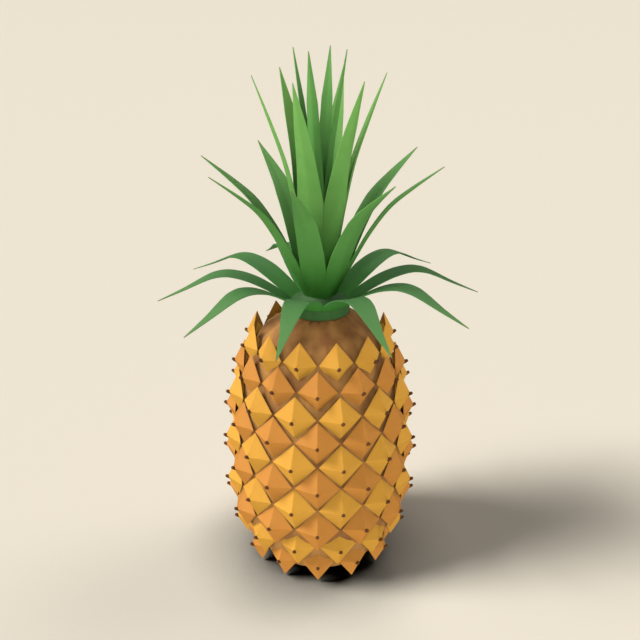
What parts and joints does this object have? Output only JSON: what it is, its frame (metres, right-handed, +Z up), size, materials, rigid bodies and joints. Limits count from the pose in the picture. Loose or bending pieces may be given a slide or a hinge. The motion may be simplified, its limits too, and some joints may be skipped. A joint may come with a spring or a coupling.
{
  "type": "pineapple",
  "caption": "Whole pineapple standing on its base, with pointed scales all round and a crown of long leaves.",
  "frame": {"origin": "middle of the flat spot under the fruit, on the ground", "axes": "+Z up along the fruit's axis, -Y towards the front, +X to the right as seen from the front"},
  "size_m": [0.2028, 0.1994, 0.3375],
  "materials": {
    "fruit": "dull waxy rind",
    "crown_base": "dull leaf bases",
    "leaf_outer": "smooth waxy leaf",
    "leaf_middle": "smooth waxy leaf",
    "leaf_inner": "smooth waxy leaf",
    "leaf_centre": "smooth waxy leaf"
  },
  "bodies": {
    "root": {"fruit": "fruit", "crown_base": "crown_base", "leaf_outer_01": "leaf_outer", "leaf_outer_02": "leaf_outer", "leaf_outer_03": "leaf_outer", "leaf_outer_04": "leaf_outer", "leaf_outer_05": "leaf_outer", "leaf_outer_06": "leaf_outer", "leaf_outer_07": "leaf_outer", "leaf_outer_08": "leaf_outer", "leaf_outer_09": "leaf_outer", "leaf_outer_10": "leaf_outer", "leaf_middle_01": "leaf_middle", "leaf_middle_02": "leaf_middle", "leaf_middle_03": "leaf_middle", "leaf_middle_04": "leaf_middle", "leaf_middle_05": "leaf_middle", "leaf_middle_06": "leaf_middle", "leaf_middle_07": "leaf_middle", "leaf_middle_08": "leaf_middle", "leaf_inner_01": "leaf_inner", "leaf_inner_02": "leaf_inner", "leaf_inner_03": "leaf_inner", "leaf_inner_04": "leaf_inner", "leaf_inner_05": "leaf_inner", "leaf_inner_06": "leaf_inner", "leaf_centre_01": "leaf_centre", "leaf_centre_02": "leaf_centre", "leaf_centre_03": "leaf_centre", "leaf_centre_04": "leaf_centre"}
  },
  "joints": []
}
